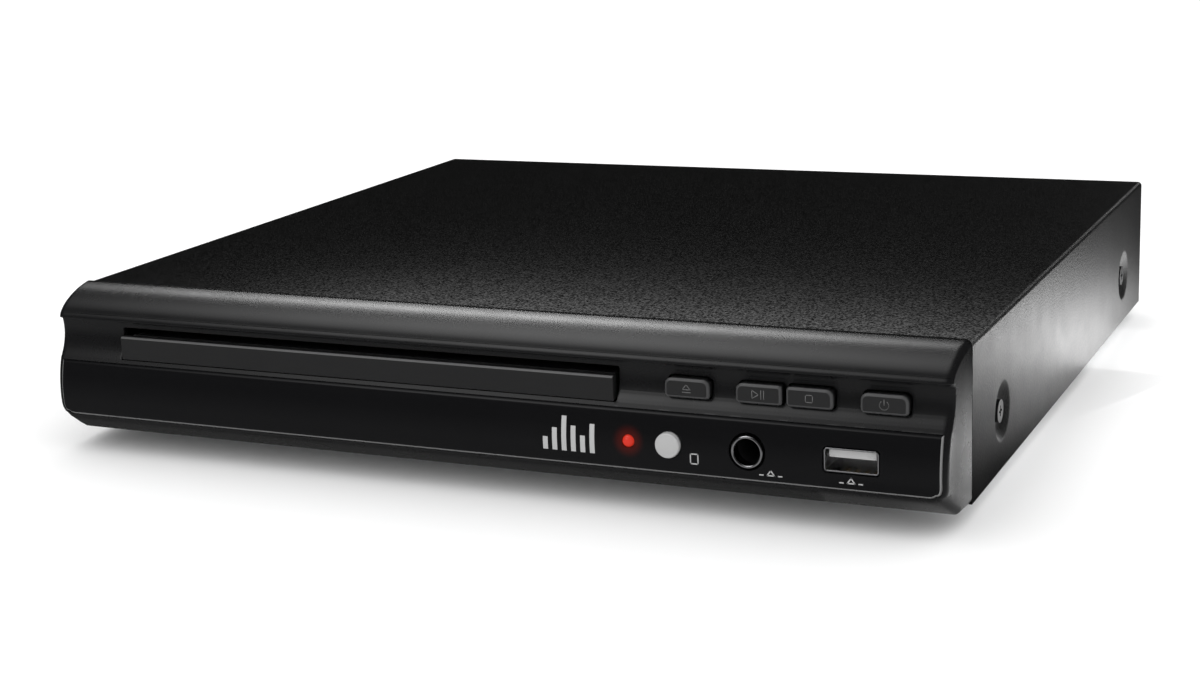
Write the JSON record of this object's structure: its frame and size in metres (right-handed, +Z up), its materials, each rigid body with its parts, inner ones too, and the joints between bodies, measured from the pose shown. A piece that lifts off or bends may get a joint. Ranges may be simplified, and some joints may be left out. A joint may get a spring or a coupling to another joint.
{
  "type": "disc player",
  "caption": "Flat disc player for singing along: sheet cover, moulded front with keys, microphone and USB sockets, a sliding disc tray and its drive.",
  "frame": {"origin": "middle of the footprint, at the level that the feet stand on", "axes": "+X to the right as seen from the front, +Y from front to rear, +Z up"},
  "size_m": [0.25, 0.2408, 0.0437],
  "materials": {
    "case_paint": "fine textured black powder coat",
    "zinc_sheet": "zinc-plated steel sheet",
    "foot_rubber": "matt rubber",
    "black_screws": "blackened steel",
    "steel_screws": "plated steel",
    "front_plastic": "satin black moulding",
    "panel_plastic": "polished black",
    "key_plastic": "satin black with light marks",
    "cap_plastic": "light grey, slightly translucent",
    "light_plastic": "red, lit",
    "plunger_plastic": "ivory",
    "green_board": "solder mask",
    "brown_board": "bare phenolic board",
    "black_parts": "moulded black",
    "plated_metal": "bright nickel plate",
    "tongue_plastic": "light grey",
    "tray_plastic": "black styrene",
    "frame_plastic": "dark grey moulding",
    "clamp_plastic": "white acetal",
    "motor_steel": "zinc-plated can",
    "pulley_brass": "turned",
    "turntable_plastic": "dark grey with a rubber pad",
    "lens_glass": "clear lens in a dark holder",
    "capacitor_sleeve": "shrunk sleeve",
    "socket_colours": "yellow, white and red inserts",
    "transformer_core": "taped winding on a ferrite core",
    "ribbon": "flat cable"
  },
  "bodies": {
    "root": {"top_cover": "case_paint", "floor_chassis": "zinc_sheet", "rear_panel": "zinc_sheet", "clamp_bridge": "zinc_sheet", "feet": "foot_rubber", "loader_bushes": "foot_rubber", "drive_belt": "foot_rubber", "cover_screws": "black_screws", "inside_screws": "steel_screws", "front_bezel": "front_plastic", "lower_panel": "panel_plastic", "receiver_cap": "cap_plastic", "status_light": "light_plastic", "key_board": "green_board", "microphone_board": "green_board", "main_board": "green_board", "power_board": "brown_board", "tact_switches": "black_parts", "infrared_receiver": "black_parts", "microphone_jack": "black_parts", "main_chips": "black_parts", "av_socket_block": "black_parts", "cord_gland": "black_parts", "jack_ring": "plated_metal", "usb_shell": "plated_metal", "av_socket_barrels": "plated_metal", "usb_tongue": "tongue_plastic", "loader_frame": "frame_plastic", "tray_motor": "motor_steel", "main_capacitors": "capacitor_sleeve", "power_parts": "capacitor_sleeve", "av_socket_inserts": "socket_colours", "transformer": "transformer_core", "board_cables": "ribbon"},
    "tray": {"disc_tray": "tray_plastic", "tray_door": "front_plastic"},
    "drive_gear": {"drive_gear": "clamp_plastic"},
    "pulley_gear": {"pulley_gear": "clamp_plastic"},
    "motor_pulley": {"motor_pulley": "pulley_brass"},
    "cam_slider": {"cam_slider": "clamp_plastic"},
    "traverse": {"traverse_chassis": "tray_plastic", "guide_rods": "steel_screws", "spindle_motor": "motor_steel", "feed_motor": "motor_steel"},
    "turntable": {"turntable": "turntable_plastic", "spindle_shaft": "steel_screws"},
    "clamp": {"disc_clamp": "clamp_plastic", "clamp_ring": "steel_screws"},
    "sled": {"pickup_sled": "frame_plastic", "pickup_lens": "lens_glass"},
    "feed_gear": {"feed_gear": "clamp_plastic"},
    "feed_pinion": {"feed_pinion": "clamp_plastic"},
    "eject_key": {"eject_key": "key_plastic", "eject_plunger": "plunger_plastic"},
    "play_key": {"play_key": "key_plastic", "play_plunger": "plunger_plastic"},
    "stop_key": {"stop_key": "key_plastic", "stop_plunger": "plunger_plastic"},
    "power_key": {"power_key": "key_plastic", "power_plunger": "plunger_plastic"}
  },
  "joints": [
    {"name": "tray_slide", "type": "slide", "parent": "root", "child": "tray", "axis": [0, -1, 0], "range_m": [0, 0.138]},
    {"name": "drive_gear_spin", "type": "hinge", "parent": "root", "child": "drive_gear", "pos_m": [0.0473, -0.0817, 0.026], "axis": [0, 0, 1], "range_deg": [0, 989]},
    {"name": "pulley_gear_spin", "type": "hinge", "parent": "root", "child": "pulley_gear", "pos_m": [0.05956, -0.07142, 0.024], "axis": [0, 0, 1], "range_deg": [-2966, 0]},
    {"name": "motor_pulley_spin", "type": "hinge", "parent": "root", "child": "motor_pulley", "pos_m": [0.06556, -0.04972, 0.024], "axis": [0, 0, 1], "range_deg": [-10354, 0]},
    {"name": "cam_slide", "type": "slide", "parent": "root", "child": "cam_slider", "axis": [1, 0, 0], "range_m": [0, 0.012]},
    {"name": "traverse_tilt", "type": "hinge", "parent": "root", "child": "traverse", "pos_m": [-0.0306, 0.0503, 0.016], "axis": [1, 0, 0], "range_deg": [0, 3.5]},
    {"name": "turntable_spin", "type": "hinge", "parent": "traverse", "child": "turntable", "pos_m": [-0.0306, -0.0357, 0.029], "axis": [0, 0, 1], "continuous": true},
    {"name": "clamp_spin", "type": "hinge", "parent": "root", "child": "clamp", "pos_m": [-0.0306, -0.0357, 0.035], "axis": [0, 0, 1], "continuous": true},
    {"name": "pickup_slide", "type": "slide", "parent": "traverse", "child": "sled", "axis": [0, 1, 0], "range_m": [0, 0.035]},
    {"name": "feed_gear_spin", "type": "hinge", "parent": "traverse", "child": "feed_gear", "pos_m": [-0.0006, 0.0198, 0.023], "axis": [0, 0, 1], "range_deg": [-502, 0]},
    {"name": "feed_pinion_spin", "type": "hinge", "parent": "traverse", "child": "feed_pinion", "pos_m": [0.00237, 0.03266, 0.023], "axis": [0, 0, 1], "range_deg": [0, 1567]},
    {"name": "eject_press", "type": "slide", "parent": "root", "child": "eject_key", "axis": [0, 1, 0], "range_m": [0, 0.0005], "stiffness_N_per_m": 600, "springref_m": -0.0005},
    {"name": "play_press", "type": "slide", "parent": "root", "child": "play_key", "axis": [0, 1, 0], "range_m": [0, 0.0005], "stiffness_N_per_m": 600, "springref_m": -0.0005},
    {"name": "stop_press", "type": "slide", "parent": "root", "child": "stop_key", "axis": [0, 1, 0], "range_m": [0, 0.0005], "stiffness_N_per_m": 600, "springref_m": -0.0005},
    {"name": "power_press", "type": "slide", "parent": "root", "child": "power_key", "axis": [0, 1, 0], "range_m": [0, 0.0005], "stiffness_N_per_m": 600, "springref_m": -0.0005}
  ],
  "couplings": [
    {"joint": "drive_gear_spin", "follows": "tray_slide", "rad_per_m": 125},
    {"joint": "pulley_gear_spin", "follows": "tray_slide", "rad_per_m": -375},
    {"joint": "motor_pulley_spin", "follows": "tray_slide", "rad_per_m": -1309.4},
    {"joint": "traverse_tilt", "follows": "cam_slide", "rad_per_m": 5.0905},
    {"joint": "clamp_spin", "follows": "turntable_spin", "ratio": 1},
    {"joint": "feed_gear_spin", "follows": "pickup_slide", "rad_per_m": -250},
    {"joint": "feed_pinion_spin", "follows": "pickup_slide", "rad_per_m": 781.25}
  ]
}
